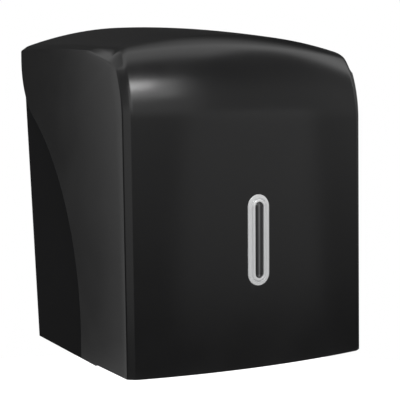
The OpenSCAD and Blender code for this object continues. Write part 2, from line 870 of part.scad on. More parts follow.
module lock_barrel() {
    head_top = -lock_pocket + lock_head_h;
    low = -lock_pocket - lock_len;
    head_floor = head_top - plug_head_h - run_gap;
    color(steel) to_origin() at_lock()
        rotate_extrude()
            polygon([
                [plug_r + run_gap, low], [lock_r, low], [lock_r, -lock_pocket],
                [lock_head_r, -lock_pocket], [lock_head_r, head_top - lock_head_h / 3],
                [lock_head_r - lock_head_h / 3, head_top], [plug_head_r + run_gap, head_top],
                [plug_head_r + run_gap, head_floor], [plug_r + run_gap, head_floor]
            ]);
}

module lock_washer() {
    color(steel) to_origin() at_lock() difference() {
        post(washer_r, -lock_pad - washer_h, -lock_pad);
        post(lock_r + fit_gap, -lock_pad - washer_h - 1, 0);
    }
}

module lock_nut() {
    color(steel) to_origin() at_lock() difference() {
        translate([0, 0, -lock_pad - washer_h - nut_h])
            cylinder(r = nut_across / 2 / cos(30), h = nut_h, $fn = 6);
        post(lock_r + fit_gap, -lock_pad - washer_h - nut_h - 1, 0);
    }
}

module lock_plug() {
    head_top = -lock_pocket + lock_head_h;
    color(silver) to_origin() at_lock() difference() {
        union() {
            post(plug_head_r, head_top - plug_head_h, head_top);
            post(plug_r, cam_top, head_top - plug_head_h / 2);
            translate([-cam_square / 2, -cam_square / 2, cam_top - cam_h + fit_gap])
                cube([cam_square, cam_square, cam_h]);
        }
        translate([-keyway[0] / 2, -keyway[1] / 2, head_top - keyway[2]])
            cube([keyway[0], keyway[1], keyway[2] + 1]);
        post(cam_screw_r + pin_gap, cam_top - cam_h - 1, cam_top + cam_screw_len);
    }
}

module lock_cam() {
    hole = cam_square + 2 * fit_gap;
    color(steel) to_origin() at_lock()
        translate([0, 0, cam_top - cam_h])
            linear_extrude(cam_h)
                difference() {
                    union() {
                        circle(r = cam_w / 2 + cam_hub);
                        translate([-cam_w / 2, 0])
                            square([cam_w, cam_len - cam_w / 2]);
                        translate([0, cam_len - cam_w / 2])
                            circle(d = cam_w);
                    }
                    translate([-hole / 2, -hole / 2])
                        square(hole);
                }
}

module lock_cam_screw() {
    color(steel) to_origin() at_lock()
        translate([0, 0, cam_top - cam_h])
            rotate([180, 0, 0])
                pan_screw(cam_screw_r, cam_h + cam_screw_len - 1, cam_screw_head_r, cam_screw_head);
}

rear_housing();
roll_shelf();
shelf_screws();
hinge_pin(-1);  // hinge_pin_left
hinge_pin(1);  // hinge_pin_right
catch_bracket();
catch_screws();
nozzle_ring();
nozzle_ring_screws();
swivel_nozzle();
tension_star();
front_cover();
window_bezel();
window_lens();
window_retainer();
lock_barrel();
lock_washer();
lock_nut();
lock_plug();
lock_cam();
lock_cam_screw();
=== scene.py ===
"""Looks of a wall dispenser for centrefeed paper rolls: satin black cover, silver window, cam lock."""

import bpy
import numpy as np
from mathutils import Matrix, Vector


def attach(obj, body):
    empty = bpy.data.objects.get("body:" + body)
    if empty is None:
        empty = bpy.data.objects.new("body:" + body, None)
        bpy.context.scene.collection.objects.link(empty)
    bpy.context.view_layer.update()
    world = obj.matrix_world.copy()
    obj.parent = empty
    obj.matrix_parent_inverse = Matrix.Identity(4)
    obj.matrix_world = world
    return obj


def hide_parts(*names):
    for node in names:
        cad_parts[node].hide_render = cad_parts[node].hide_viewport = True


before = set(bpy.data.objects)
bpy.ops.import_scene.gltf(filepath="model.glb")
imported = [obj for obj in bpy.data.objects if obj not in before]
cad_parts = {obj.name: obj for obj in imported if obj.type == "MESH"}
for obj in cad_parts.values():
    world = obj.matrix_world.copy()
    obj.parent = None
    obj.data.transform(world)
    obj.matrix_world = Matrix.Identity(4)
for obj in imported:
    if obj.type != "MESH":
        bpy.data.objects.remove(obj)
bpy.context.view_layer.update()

# Rear housing: the moulded ABS back that is screwed to the wall and carries everything else.
# It is the darker, inset piece behind the cover's swept edge, with a fine spark-eroded grain.
MM = 0.001


def shader_group(name, inputs, outputs):
    """An empty shader node group with float inputs and outputs; a name that ends in Vector is a vector."""
    tree = bpy.data.node_groups.new(name, "ShaderNodeTree")
    for direction, names in (("INPUT", inputs), ("OUTPUT", outputs)):
        for socket in names:
            kind = "NodeSocketVector" if socket.endswith("Vector") else "NodeSocketFloat"
            tree.interface.new_socket(socket, in_out=direction, socket_type=kind)
    return tree, tree.nodes.new("NodeGroupInput"), tree.nodes.new("NodeGroupOutput")


def add(tree, kind, values=None, **settings):
    """A new node with its settings; values go to input sockets, and a socket as a value is linked."""
    node = tree.nodes.new(kind)
    for key, value in settings.items():
        setattr(node, key, value)
    for key, value in (values or {}).items():
        if isinstance(value, bpy.types.NodeSocket):
            tree.links.new(value, node.inputs[key])
        else:
            node.inputs[key].default_value = value
    return node


def calc(tree, operation, a, b=0.0):
    """A math node's output socket."""
    return add(tree, "ShaderNodeMath", {0: a, 1: b}, operation=operation).outputs[0]


def ranged(tree, value, low, high, least=0.0, most=1.0, kind="LINEAR"):
    """A value mapped from the range low to high onto least to most, and held at the ends."""
    node = add(tree, "ShaderNodeMapRange", {
        "Value": value, "From Min": low, "From Max": high, "To Min": least, "To Max": most},
        interpolation_type=kind)
    return node.outputs[0]


def build_grain_group():
    """Moulded grain: fine noise plus rounded pebbles as a height, and a slow patchy drift of the gloss."""
    tree, inside, outside = shader_group(
        "moulded_grain", ["Vector", "Grain Scale", "Pebble"], ["Height", "Patch"])
    place, scale = inside.outputs["Vector"], inside.outputs["Grain Scale"]
    fine = add(tree, "ShaderNodeTexNoise", {
        "Vector": place, "Scale": scale, "Detail": 3.0, "Roughness": 0.6})
    pebble = add(tree, "ShaderNodeTexVoronoi", {"Vector": place, "Scale": scale}, feature="SMOOTH_F1")
    pebbled = calc(tree, "MULTIPLY", pebble.outputs["Distance"], inside.outputs["Pebble"])
    tree.links.new(calc(tree, "ADD", fine.outputs["Fac"], pebbled), outside.inputs["Height"])
    patch = add(tree, "ShaderNodeTexNoise", {
        "Vector": place, "Scale": 22.0, "Detail": 4.0, "Roughness": 0.55})
    tree.links.new(patch.outputs["Fac"], outside.inputs["Patch"])
    return tree


def build_rub_group():
    """Rubbed edges: convex places by pointiness, broken up by noise, as a mask from 0 to 1."""
    tree, inside, outside = shader_group("rubbed_edges", ["Vector", "Start", "End"], ["Mask"])
    pointed = add(tree, "ShaderNodeNewGeometry").outputs["Pointiness"]
    broken = add(tree, "ShaderNodeTexNoise", {
        "Vector": inside.outputs["Vector"], "Scale": 160.0, "Detail": 5.0, "Roughness": 0.65})
    convex = ranged(tree, pointed, inside.outputs["Start"], inside.outputs["End"])
    mask = calc(tree, "MULTIPLY", convex, broken.outputs["Fac"])
    tree.links.new(mask, outside.inputs["Mask"])
    return tree


grain_group, rub_group = build_grain_group(), build_rub_group()
rub_start, rub_end = 0.51, 0.60
patch_low, patch_high = 0.3, 0.7
grain_rise = 0.02 / 0.3


def start_material(name):
    """A new material, with its node tree, its shader and the place on the piece."""
    material = bpy.data.materials.new(name)
    material.use_nodes = True
    tree = material.node_tree
    place = add(tree, "ShaderNodeTexCoord").outputs["Object"]
    return material, tree, tree.nodes["Principled BSDF"], place


def grained(tree, place, grain_mm, pebble=0.0):
    """The grain group placed in a material, with grain of that size in mm."""
    return add(tree, "ShaderNodeGroup", {
        "Vector": place, "Grain Scale": 1.0 / (grain_mm * MM), "Pebble": pebble}, node_tree=grain_group)


def mix_colour(tree, shader, mask, first, second):
    """A base colour that goes from the first to the second as the mask goes from 0 to 1."""
    mix = add(tree, "ShaderNodeMix", {
        "Factor": mask, "A": (*first, 1.0), "B": (*second, 1.0)}, data_type="RGBA")
    tree.links.new(mix.outputs["Result"], shader.inputs["Base Color"])


def patchy_gloss(tree, shader, grain, roughness):
    """A roughness that drifts between two values with the grain's patches."""
    gloss = ranged(tree, grain.outputs["Patch"], patch_low, patch_high, *roughness)
    tree.links.new(gloss, shader.inputs["Roughness"])


def raise_grain(tree, shader, grain, relief, rise):
    """The grain's height as fine relief, of that strength and rise in metres."""
    bump = add(tree, "ShaderNodeBump", {
        "Strength": relief, "Distance": rise, "Height": grain.outputs["Height"]})
    tree.links.new(bump.outputs["Normal"], shader.inputs["Normal"])


def moulded_plastic(name, colour, worn, roughness, grain_mm, relief, pebble=0.4, shine=0.5):
    """Moulded plastic: its colour, a paler worn edge, a roughness range, and grain of that size in mm."""
    material, tree, shader, place = start_material(name)
    grain = grained(tree, place, grain_mm, pebble)
    rub = add(tree, "ShaderNodeGroup", {
        "Vector": place, "Start": rub_start, "End": rub_end}, node_tree=rub_group)
    mix_colour(tree, shader, rub.outputs["Mask"], colour, worn)
    patchy_gloss(tree, shader, grain, roughness)
    raise_grain(tree, shader, grain, relief, grain_rise * grain_mm * MM)
    shader.inputs["Specular IOR Level"].default_value = shine
    return material


def dress(node, material):
    """Puts a material on a CAD node."""
    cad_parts[node].data.materials.clear()
    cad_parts[node].data.materials.append(material)


housing_plastic = moulded_plastic(
    "housing_plastic", colour=(0.0185, 0.0185, 0.0188), worn=(0.02, 0.02, 0.021),
    roughness=(0.62, 0.7), grain_mm=0.7, relief=0.35, pebble=0.8, shine=0.0)
dress("rear_housing", housing_plastic)

# Roll shelf: a ribbed tray in dark grey ABS on which the roll stands, screwed to the housing's ledges.
# Its top is polished by paper sliding over it, so it is a little glossier than the housing.
shelf_plastic = moulded_plastic(
    "shelf_plastic", colour=(0.045, 0.046, 0.049), worn=(0.09, 0.09, 0.093),
    roughness=(0.36, 0.46), grain_mm=0.5, relief=0.25)
dress("roll_shelf", shelf_plastic)

# Screws: zinc-plated steel with pan heads, bright with a faint turned grain.
# They hold the shelf on its ledges, the ring on the shelf, the catch on the lip and the cam on its plug.
dull_share = 0.72
tool_mark = 0.01 * MM


def metal(name, colour, roughness, grain_mm, relief):
    """Plated metal: a slightly uneven colour and gloss, with fine tool marks of that size in mm."""
    material, tree, shader, place = start_material(name)
    grain = grained(tree, place, grain_mm)
    dull = tuple(dull_share * part for part in colour)
    mix_colour(tree, shader, grain.outputs["Patch"], dull, colour)
    patchy_gloss(tree, shader, grain, roughness)
    raise_grain(tree, shader, grain, relief, tool_mark)
    shader.inputs["Metallic"].default_value = 1.0
    return material


zinc_plate = metal(
    "zinc_plate", colour=(0.62, 0.63, 0.65), roughness=(0.28, 0.4), grain_mm=0.25, relief=0.3)
for screws in ("shelf_screws", "nozzle_ring_screws", "catch_screws", "lock_cam_screw"):
    dress(screws, zinc_plate)

# Hinge pins: two headed steel pins, pushed from inside through the housing's walls into the cover.
# They are drawn bar, so they are brighter and smoother than the screws.
drawn_steel = metal(
    "drawn_steel", colour=(0.58, 0.585, 0.6), roughness=(0.2, 0.3), grain_mm=0.2, relief=0.2)
for pin in ("hinge_pin_left", "hinge_pin_right"):
    dress(pin, drawn_steel)

# Nozzle: a polished acetal funnel that swivels in the shelf's collar under a screwed ring of black ABS.
# The soft slit rubber star in its mouth brakes the paper so that it tears off.
nozzle_plastic = moulded_plastic(
    "nozzle_plastic", colour=(0.008, 0.008, 0.009), worn=(0.03, 0.03, 0.031),
    roughness=(0.24, 0.32), grain_mm=0.6, relief=0.12)
star_rubber = moulded_plastic(
    "star_rubber", colour=(0.014, 0.014, 0.0145), worn=(0.03, 0.03, 0.03),
    roughness=(0.6, 0.72), grain_mm=0.3, relief=0.4)
dress("swivel_nozzle", nozzle_plastic)
dress("nozzle_ring", housing_plastic)
dress("tension_star", star_rubber)

# Catch: a bent strip of zinc-plated steel on the housing's top lip, behind which the cam turns.
# It takes the pull of anyone trying to force the cover, so it is the one metal bracket.
dress("catch_bracket", zinc_plate)

# Front cover: one thin crowned shell in satin black ABS that drops forward on the hinge pins.
# Its front leans back and curves over a soft brow into an arched top, with a bevel strip at each corner.
half_w = 115 * MM
depth = 220 * MM
wall_gap = 1 * MM
side_flare = np.radians(2.1)
wall = 2.5 * MM
front_lean = np.radians(1.6)
curve_start = 207 * MM
curve_r, curve_turn = 96 * MM, np.radians(31)
brow_r = 8.5 * MM
top_slope = np.radians(6)
bevel_w = 6.3 * MM
bevel_front, bevel_rear = 4.7 * MM, 4.5 * MM
crown_front, crown_rear = 10.3 * MM, 21.5 * MM
growth_power = 1.9
screw_centre = 150 * MM
brow_angle = front_lean + curve_turn
top_angle = np.pi / 2 - top_slope
front_len = curve_start / np.cos(front_lean)
curve_len = curve_r * curve_turn
brow_len = brow_r * (top_angle - brow_angle)


def bend(distance, angle, start=(0.0, 0.0)):
    """Depth and height along a line whose angle from upright runs linearly between samples: chord sums."""
    middle = (angle[1:] + angle[:-1]) / 2
    chord = np.diff(distance) * np.sinc(np.diff(angle) / 2 / np.pi)
    run = np.concatenate([[0], np.cumsum(chord * np.sin(middle))])
    rise = np.concatenate([[0], np.cumsum(chord * np.cos(middle))])
    return start[0] + run, start[1] + rise


knots_s = np.cumsum([0, front_len, curve_len, brow_len])
knots_a = np.array([front_lean, front_lean, brow_angle, top_angle])
brow_back = bend(knots_s, knots_a)[0][-1]
top_r = (depth - wall_gap - brow_back) / np.cos(top_angle)
path_len = knots_s[-1] + top_r * top_slope
knots_s, knots_a = np.append(knots_s, path_len), np.append(knots_a, np.pi / 2)


def crease(distance):
    """The line where the sides end, at these distances along it: depth, height and angle from upright.
    It is a straight front and then three arcs, for the upper curve, the brow and the top."""
    fine = np.union1d(distance, knots_s)
    angle = np.interp(fine, knots_s, knots_a)
    run, rise = bend(fine, angle)
    pick = np.searchsorted(fine, distance)
    return run[pick], rise[pick], angle[pick]


# A small facet cuts the side's corner at the brow, and the strip's edge is rounder there.
cut_front, cut_rear, cut_share = 10 * MM, 40 * MM, 0.9
corner_round, round_front, round_rear = 8 * MM, 7 * MM, 16 * MM


def cut_corner(distance, points):
    """The crease with its corner at the brow cut off: each point moves most of the way to the chord
    from a place below the brow to one behind it."""
    start, end = knots_s[2] - cut_front, knots_s[3] + cut_rear
    first, last = [[np.interp(place, distance, axis) for axis in points.T] for place in (start, end)]
    share = np.clip((distance - start) / (end - start), 0, 1)[:, None]
    chord = np.array(first) * (1 - share) + np.array(last) * share
    within = (share > 0) & (share < 1)
    return np.where(within, points * (1 - cut_share) + chord * cut_share, points)


def corner_bell(distance):
    """How much rounder the strip's edge is, from 0 to 1: it falls off exponentially both ways along it
    from where the top begins."""
    past = distance - knots_s[3]
    return np.exp(-np.abs(past) / np.where(past > 0, round_rear, round_front))


def crown_points(distance, share, inset):
    """Points on the crowned face, in the row frame: distances along the crease by shares of the half width.
    The face stands off the crease by the bevel plus a parabola across the width, both growing along it."""
    run, rise, angle = crease(distance)
    share = np.atleast_2d(share)
    growth = (distance / path_len) ** growth_power
    bevel = bevel_front + (bevel_rear - bevel_front) * growth
    crown = crown_front + (crown_rear - crown_front) * growth
    stand = bevel[:, None] + crown[:, None] * (1 - share ** 2) - inset
    inner = half_w + run * np.tan(side_flare) - inset - bevel_w
    height = rise[:, None] + stand * np.sin(angle)[:, None]
    height[distance == 0] = 0
    return np.stack([
        inner[:, None] * share,
        run[:, None] - stand * np.cos(angle)[:, None] - depth,
        height - screw_centre], axis=-1)


# The swept rear edge of the sides: upright, one wide arc back, and a tighter one upright again.
parting_depth = 132 * MM
parting_low, parting_high = 16 * MM, 261 * MM
parting_r = 231 * MM
sweep_run = parting_depth - wall_gap
sweep_rise = parting_high - parting_low
sweep_angle = 2 * np.arctan2(sweep_run, sweep_rise)
parting_r2 = sweep_rise / np.sin(sweep_angle) - parting_r
parting_s = np.cumsum([0, parting_low, parting_r * sweep_angle, parting_r2 * sweep_angle])
parting_a = np.array([0, 0, sweep_angle, 0])


def parting_points(share):
    """Points on the rear edge of the side at these shares of its length: depth and height."""
    distance = share * parting_s[-1]
    fine = np.union1d(distance, parting_s)
    run, rise = bend(fine, np.interp(fine, parting_s, parting_a), (depth - parting_depth, 0.0))
    pick = np.searchsorted(fine, distance)
    return run[pick], rise[pick]


def arc_between(a, corner, b, count):
    """A soft corner: a quadratic curve from a to b pulled to the corner, for whole rows at once."""
    t = np.linspace(0, 1, count)[None, :, None]
    return (1 - t) ** 2 * a[:, None] + 2 * t * (1 - t) * corner[:, None] + t ** 2 * b[:, None]


def toward(a, b, length):
    """Points at that length from a towards b."""
    step = b - a
    return a + step * (length / np.linalg.norm(step, axis=-1, keepdims=True))


FRONT_ROWS, CURVE_ROWS, BROW_ROWS, TOP_ROWS = 30, 26, 20, 34
rows_s = np.concatenate([
    np.linspace(0, knots_s[1], FRONT_ROWS, endpoint=False),
    np.linspace(knots_s[1], knots_s[2], CURVE_ROWS, endpoint=False),
    np.linspace(knots_s[2], knots_s[3], BROW_ROWS, endpoint=False),
    np.linspace(knots_s[3], path_len, TOP_ROWS)])
edge_at_curve, edge_at_top = 0.58, 0.68
edge_share = np.interp(
    rows_s, [0, knots_s[1], knots_s[3], path_len], [0, edge_at_curve, edge_at_top, 1])
CROWN_COLS, CORNER_COLS, SIDE_COLS = 40, 7, 14
crease_soft, strip_soft, rim_r = 1.3 * MM, 1.6 * MM, 0.5 * MM


def cover_skin(inset):
    """The cover's surface as rows by columns, set in by inset: the right half worked out, then mirrored.
    Each row runs over the crown, the strip's soft corner, the crease's and the side to the rear edge."""
    run, rise, angle = crease(rows_s)
    width = half_w + run * np.tan(side_flare) - inset
    corner = np.stack([
        width, run + inset * np.cos(angle) - depth,
        np.maximum(rise - inset * np.sin(angle), 0) - screw_centre], axis=-1)
    corner = cut_corner(rows_s, corner)
    inward = corner + np.stack([0 * angle, np.cos(angle), -np.sin(angle)], axis=-1) * crease_soft
    edge_run, edge_rise = parting_points(edge_share)
    edge = np.stack([
        half_w + edge_run * np.tan(side_flare) - inset, edge_run - rim_r - depth,
        edge_rise - screw_centre], axis=-1)
    shares = np.linspace(0, 1, CROWN_COLS)
    crown = crown_points(rows_s, shares, inset)
    strip = crown[:, -1]
    soft = (strip_soft + corner_round * corner_bell(rows_s))[:, None]
    crown_end = toward(strip, crown[:, -2], soft)
    face = crown_points(rows_s, shares[:-1] * (1 - soft / half_w), inset)
    t = np.linspace(0, 1, SIDE_COLS)[None, 1:, None]
    side = inward[:, None] * (1 - t) + edge[:, None] * t
    half = np.concatenate([
        face,
        arc_between(crown_end, strip, toward(strip, corner, soft), CORNER_COLS),
        arc_between(toward(corner, strip, crease_soft), corner, inward, CORNER_COLS),
        side], axis=1)
    half[0, :, 2] = rim_r - screw_centre
    half[-1, :, 1] = -wall_gap - rim_r
    left = half[:, :0:-1] * np.array([-1, 1, 1])
    return np.concatenate([left, half], axis=1)


def rim_ways(rows, columns):
    """The way out of a cover's rim at each grid point: down along the bottom row, back along the others."""
    way = np.zeros((rows, columns, 3))
    way[:, (0, -1)] = way[-1] = (0, 1, 0)
    way[0] = (0, 0, -1)
    way[0, (0, -1)] = (0, np.sqrt(0.5), -np.sqrt(0.5))
    return way


def border_loop(rows, columns):
    """Indices round the border of a grid, in order."""
    index = np.arange(rows * columns).reshape(rows, columns)
    return np.concatenate([index[0, :-1], index[:-1, -1], index[-1, :0:-1], index[:0:-1, 0]])


def grid_faces(rows, columns, offset=0):
    """Quads of a grid of rows by columns."""
    index = np.arange(rows * columns).reshape(rows, columns) + offset
    quads = [index[:-1, :-1], index[:-1, 1:], index[1:, 1:], index[1:, :-1]]
    return np.stack(quads, axis=-1).reshape(-1, 4)


def thin_shell(skin, lining, rim_steps=5):
    """A closed shell: skin and lining on one grid, joined round the border by a half-round rim, which runs
    from one to the other and stands out by the root of a sine."""
    rows, columns = skin.shape[:2]
    loop = border_loop(rows, columns)
    count = rows * columns
    t = np.linspace(0, 1, rim_steps + 2)[1:-1, None, None]
    outer, inner, way = [v.reshape(-1, 3)[loop] for v in (skin, lining, rim_ways(rows, columns))]
    rim = outer * (1 - t) + inner * t + way * rim_r * np.sqrt(np.sin(np.pi * t))
    points = np.concatenate([skin.reshape(-1, 3), lining.reshape(-1, 3), rim.reshape(-1, 3)])
    size = len(loop)
    rings = [loop] + [2 * count + k * size + np.arange(size) for k in range(rim_steps)] + [loop + count]
    bands = [
        np.stack([a, b, np.roll(b, -1), np.roll(a, -1)], axis=-1)
        for a, b in zip(rings[:-1], rings[1:])]
    faces = np.concatenate(
        [grid_faces(rows, columns), grid_faces(rows, columns, count)[:, ::-1], *bands])
    return points, faces


sharp_angle = np.radians(35)


def new_piece(name, points, faces, material):
    """A mesh object from arrays of points and faces, smooth but for edges past the sharp angle."""
    mesh = bpy.data.meshes.new(name)
    mesh.from_pydata(points, [], faces)
    mesh.validate()
    mesh.shade_smooth()
    mesh.set_sharp_from_angle(angle=sharp_angle)
    mesh.materials.append(material)
    piece = bpy.data.objects.new(name, mesh)
    bpy.context.scene.collection.objects.link(piece)
    return piece


cover_plastic = moulded_plastic(
    "cover_plastic", colour=(0.006, 0.006, 0.0063), worn=(0.02, 0.02, 0.021),
    roughness=(0.165, 0.21), grain_mm=0.35, relief=0.06, pebble=0.5)
cover_points, cover_faces = thin_shell(cover_skin(0.0), cover_skin(wall))
cover = new_piece("cover_shell", cover_points, cover_faces, cover_plastic)


def apply_modifiers(piece):
    """Replaces a piece's mesh by what its modifiers make of it."""
    mesh = bpy.data.meshes.new_from_object(
        piece.evaluated_get(bpy.context.evaluated_depsgraph_get()))
    piece.modifiers.clear()
    piece.data = mesh


def join_or_cut(piece, tools, operation):
    """Joins solids to a piece or cuts them out of it, and removes them."""
    for tool in tools:
        modifier = piece.modifiers.new(tool.name, "BOOLEAN")
        modifier.operation = operation
        modifier.solver = "EXACT"
        modifier.object = tool
    apply_modifiers(piece)
    for tool in tools:
        bpy.data.objects.remove(tool)


def revolve(profile, count=64):
    """A closed solid of revolution about Z: a profile of radius and height turned in equal steps."""
    turn = np.arange(count) * 2 * np.pi / count
    radius, height = np.array(profile, float).T
    points = np.stack([
        radius[:, None] * np.cos(turn), radius[:, None] * np.sin(turn),
        np.repeat(height[:, None], count, axis=1)], axis=-1)
    index = np.arange(points[..., 0].size).reshape(points.shape[:2])
    after = np.roll(index, -1, axis=1)
    quads = np.stack([index[:-1], after[:-1], after[1:], index[1:]], axis=-1).reshape(-1, 4).tolist()
    return points.reshape(-1, 3), quads + [index[0, ::-1].tolist(), index[-1].tolist()]


def moved(points, matrix):
    """Points under a 4 by 4 matrix."""
    matrix = np.array(matrix)
    return points @ matrix[:3, :3].T + matrix[:3, 3]


def centre_frame(distance):
    """The matrix of a frame on the cover's centre line: X across, Y along the line, Z outwards."""
    step = 1 * MM
    here, there = crown_points(np.array([distance, distance + step]), np.array([0.0]), 0.0)[:, 0]
    along = Vector(there - here).normalized()
    out = Vector((1, 0, 0)).cross(along)
    turn = Matrix((Vector((1, 0, 0)), along, out)).transposed().to_4x4()
    return Matrix.Translation(Vector(here)) @ turn


lock_depth, window_height = 36 * MM, 107 * MM
at_lock = centre_frame(path_len - (lock_depth - wall_gap))
at_window = centre_frame(window_height)
hinge_depth, hinge_height = 146 * MM, 9.5 * MM
hinge_axis = Vector((0, -hinge_depth, hinge_height - screw_centre))
hinge_boss_r, hinge_bore_r = 8 * MM, 3.08 * MM
hinge_cover_x = 109.93 * MM
hinge_bore_end, hinge_end_x = 115.2 * MM, 116.4 * MM
stop_w, stop_len, stop_reach, stop_lean = 3 * MM, 4 * MM, 12.6 * MM, np.radians(20)
lock_r, lock_head_r, lock_pad_r = 8.5 * MM, 11.5 * MM, 15.5 * MM
lock_pocket, lock_pad = 1.75 * MM, 5.2 * MM
fit_gap = 0.15 * MM


def on_hinge(side, points, lean=0.0):
    """Points of a shape along Z, laid outwards along the hinge axis on the left (-1) or right (1), and then
    leaned about it."""
    turn = Matrix.Rotation(lean, 4, "X") @ Matrix.Rotation(side * np.pi / 2, 4, "Y")
    return moved(points, Matrix.Translation(hinge_axis) @ turn)


def stadium_outline(width, height, count=64):
    """Points round a stadium with its long way along Y: two half circles about the ends of its spine.
    Columns of widths and heights give one ring each."""
    turn = np.linspace(0, np.pi, count // 2)
    ends = np.concatenate([turn, turn + np.pi])
    shift = np.where(np.arange(len(ends)) < len(turn), 1, -1) * (height - width) / 2
    return np.stack([np.cos(ends) * width / 2, np.sin(ends) * width / 2 + shift], axis=-1)


def stadium_prism(width, height, low, high):
    """A stadium-shaped prism between two heights."""
    outline = stadium_outline(width, height)
    count = len(outline)
    points = np.concatenate([
        np.column_stack([outline, np.full(count, low)]), np.column_stack([outline, np.full(count, high)])])
    index = np.arange(count)
    after = np.roll(index, -1)
    sides = np.stack([index, after, after + count, index + count], axis=-1).tolist()
    return points, sides + [index[::-1].tolist(), (index + count).tolist()]


def solid(name, points, faces):
    """A closed solid for joining or cutting."""
    return new_piece(name, points, faces, cover_plastic)


pad_points, pad_faces = revolve([(lock_pad_r, -lock_pad), (lock_pad_r, -wall / 2)])
boss_points, boss_faces = revolve([(hinge_boss_r, hinge_cover_x), (hinge_boss_r, hinge_end_x)])
stop_points, stop_faces = stadium_prism(stop_w, stop_reach, hinge_cover_x, hinge_cover_x + stop_len)
stop_points = stop_points + np.array([0, stop_reach / 2, 0])
join_or_cut(cover, [
    solid("boss_left", on_hinge(-1, boss_points), boss_faces),
    solid("boss_right", on_hinge(1, boss_points), boss_faces),
    solid("stop_left", on_hinge(-1, stop_points, stop_lean), stop_faces),
    solid("stop_right", on_hinge(1, stop_points, stop_lean), stop_faces),
    solid("lock_pad", moved(pad_points, at_lock), pad_faces)], "UNION")
pin_points, pin_faces = revolve([(hinge_bore_r, hinge_cover_x - wall), (hinge_bore_r, hinge_bore_end)])
head_points, head_faces = revolve([(lock_head_r + fit_gap, -lock_pocket), (lock_head_r + fit_gap, wall)])
bore_points, bore_faces = revolve([(lock_r + fit_gap, -lock_pad - wall), (lock_r + fit_gap, 0)])
bezel_w, bezel_h, bezel_seat = 20.5 * MM, 76 * MM, 0.8 * MM
tube_w, tube_h = 14.4 * MM, 69.7 * MM
pocket_points, pocket_faces = stadium_prism(bezel_w + 2 * fit_gap, bezel_h + 2 * fit_gap, -bezel_seat, wall)
slot_points, slot_faces = stadium_prism(tube_w + 2 * fit_gap, tube_h + 2 * fit_gap, -2 * wall, 0)
join_or_cut(cover, [
    solid("bore_left", on_hinge(-1, pin_points), pin_faces),
    solid("bore_right", on_hinge(1, pin_points), pin_faces),
    solid("lock_head_pocket", moved(head_points, at_lock), head_faces),
    solid("lock_bore", moved(bore_points, at_lock), bore_faces),
    solid("bezel_pocket", moved(pocket_points, at_window), pocket_faces),
    solid("window_slot", moved(slot_points, at_window), slot_faces)], "DIFFERENCE")
cover.data.shade_smooth()
cover.data.set_sharp_from_angle(angle=sharp_angle)
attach(cover, "cover")
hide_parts("front_cover")

# Window: a frame of silver-lacquered ABS set in a recess of the front, with a raised inner ring.
# A tube behind it goes through the cover, and a cap pushed over the tube holds frame and lens.


def stadium_sweep(width, height, profile, count=96):
    """A closed profile of insets and heights carried round a stadium: each of its points gives one ring."""
    inset, level = np.array(profile).T[..., None]
    outline = stadium_outline(width - 2 * inset, height - 2 * inset, count)
    levels = np.broadcast_to(level[..., None], (*outline.shape[:2], 1))
    index = np.arange(outline[..., 0].size).reshape(outline.shape[:2])
    index = np.concatenate([index, index[:1]])
    after = np.roll(index, -1, axis=1)
    faces = np.stack([index[:-1], after[:-1], after[1:], index[1:]], axis=-1).reshape(-1, 4)
    return np.concatenate([outline, levels], axis=-1).reshape(-1, 3), faces


def soft_profile(points, radius, steps=4):
    """A profile with each corner rounded by a quadratic curve that starts a radius from the corner,
    or nearly half a side from it where the side is short."""
    side_share = 0.45
    points = np.array(points, float)
    before, after = np.roll(points, 1, axis=0), np.roll(points, -1, axis=0)
    reach = np.minimum(radius, side_share * np.minimum(
        np.linalg.norm(before - points, axis=1), np.linalg.norm(after - points, axis=1)))[:, None]
    a, b = toward(points, before, reach), toward(points, after, reach)
    return arc_between(a, points, b, steps).reshape(-1, 2)


silver_lacquer, tree, shader, place = start_material("silver_lacquer")
flake = grained(tree, place, grain_mm=0.2, pebble=0.6)
mix_colour(tree, shader, flake.outputs["Height"], (0.74, 0.745, 0.75), (0.88, 0.885, 0.89))
raise_grain(tree, shader, flake, relief=0.08, rise=0.01 * MM)
shader.inputs["Metallic"].default_value = 0.25
shader.inputs["Roughness"].default_value = 0.27

lens_w, lens_h = 8.2 * MM, 63.5 * MM
bezel_proud, bezel_ring, bezel_ring_w = 0.9 * MM, 1.2 * MM, 2.4 * MM
groove_w, groove_depth, flange_edge = 0.8 * MM, 0.9 * MM, 0.45 * MM
ring_bevel, bezel_soft = 0.7 * MM, 0.4 * MM
groove_slope, ring_slope = 0.3 * groove_w, 0.2 * groove_w
tube_len, lens_lip = 5.6 * MM, 1.6 * MM
lens_rim = 1.7 * MM + fit_gap
bezel_edge = (bezel_w - lens_w) / 2
tube_in = (bezel_w - tube_w) / 2
ring_foot = bezel_edge - bezel_ring_w
ring_top = bezel_proud + bezel_ring
groove_floor = bezel_proud - groove_depth
bezel_outline = [
    (0.0, -bezel_seat), (0.0, flange_edge), (ring_foot - groove_w, bezel_proud),
    (ring_foot - groove_w + groove_slope, groove_floor), (ring_foot, groove_floor),
    (ring_foot + ring_slope, ring_top - ring_bevel), (ring_foot + ring_slope + ring_bevel, ring_top),
    (bezel_edge, ring_top), (bezel_edge, -lens_lip), (bezel_edge - lens_rim, -lens_lip),
    (bezel_edge - lens_rim, -tube_len), (tube_in, -tube_len), (tube_in, -bezel_seat)]
bezel_points, bezel_faces = stadium_sweep(bezel_w, bezel_h, soft_profile(bezel_outline, bezel_soft))
bezel = new_piece("bezel_frame", moved(bezel_points, at_window), bezel_faces, silver_lacquer)
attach(bezel, "cover")
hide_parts("window_bezel")
dress("window_retainer", housing_plastic)

# Lens: smoke-tinted polycarbonate with a domed face, pressed into the bezel from behind.
# Its dark colour is partly its smoke tint and partly painted shade of the dark chamber behind it; a painted
# highlight streak runs down it to a painted glint near its lower end.


def fade(tree, value, low, high, least=0.0, most=1.0):
    """A soft step from least at low to most at high."""
    return ranged(tree, value, low, high, least, most, kind="SMOOTHSTEP")
